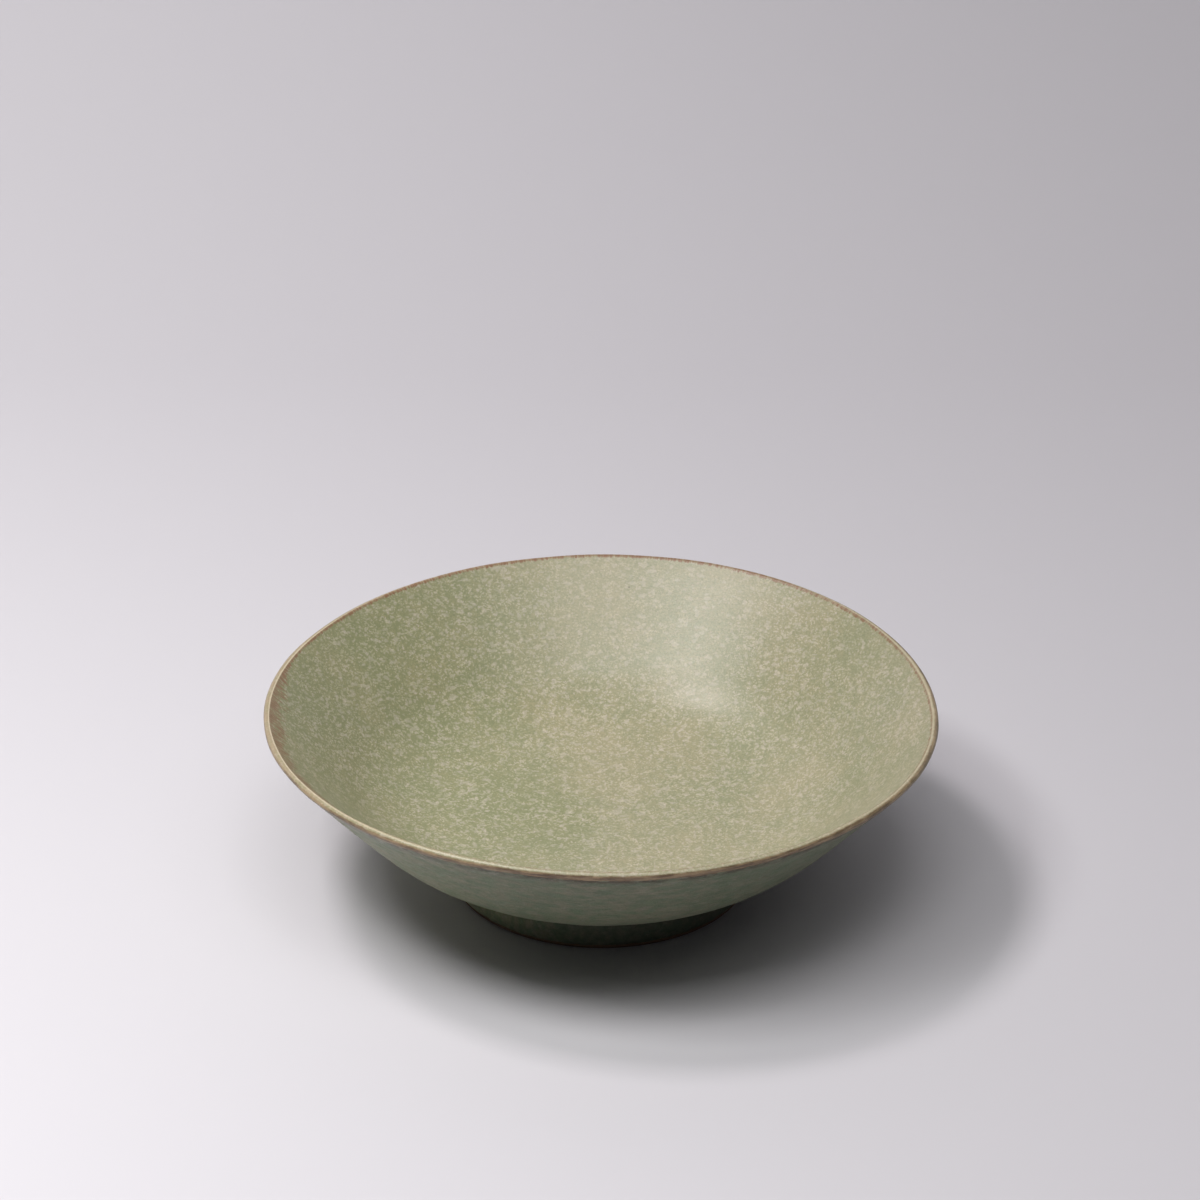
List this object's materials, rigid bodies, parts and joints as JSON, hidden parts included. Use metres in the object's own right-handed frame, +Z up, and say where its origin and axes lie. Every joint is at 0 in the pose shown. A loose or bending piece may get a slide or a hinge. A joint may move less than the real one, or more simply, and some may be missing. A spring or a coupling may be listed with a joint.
{
  "type": "matcha bowl",
  "caption": "Wide shallow stoneware tea bowl with a straight flaring wall, a luted foot ring, speckled green satin glaze and an iron-brown lip.",
  "frame": {"origin": "centre of the foot ring's contact face, on the surface that the bowl stands on", "axes": "+Z up along the axis that the bowl was turned on; the bowl is round, so X and Y are any two directions across it"},
  "size_m": [0.165, 0.165, 0.0477],
  "materials": {
    "stoneware": "matte",
    "foot_clay": "matte",
    "slip": "matte",
    "inside_glaze": "satin",
    "outside_glaze": "satin",
    "rim_glaze": "satin",
    "foot_well_glaze": "satin"
  },
  "bodies": {
    "root": {"bowl_body": "stoneware", "foot_ring": "foot_clay", "luting_slip": "slip", "inside_glaze": "inside_glaze", "outside_glaze": "outside_glaze", "rim_glaze": "rim_glaze", "foot_well_glaze": "foot_well_glaze"}
  },
  "joints": []
}
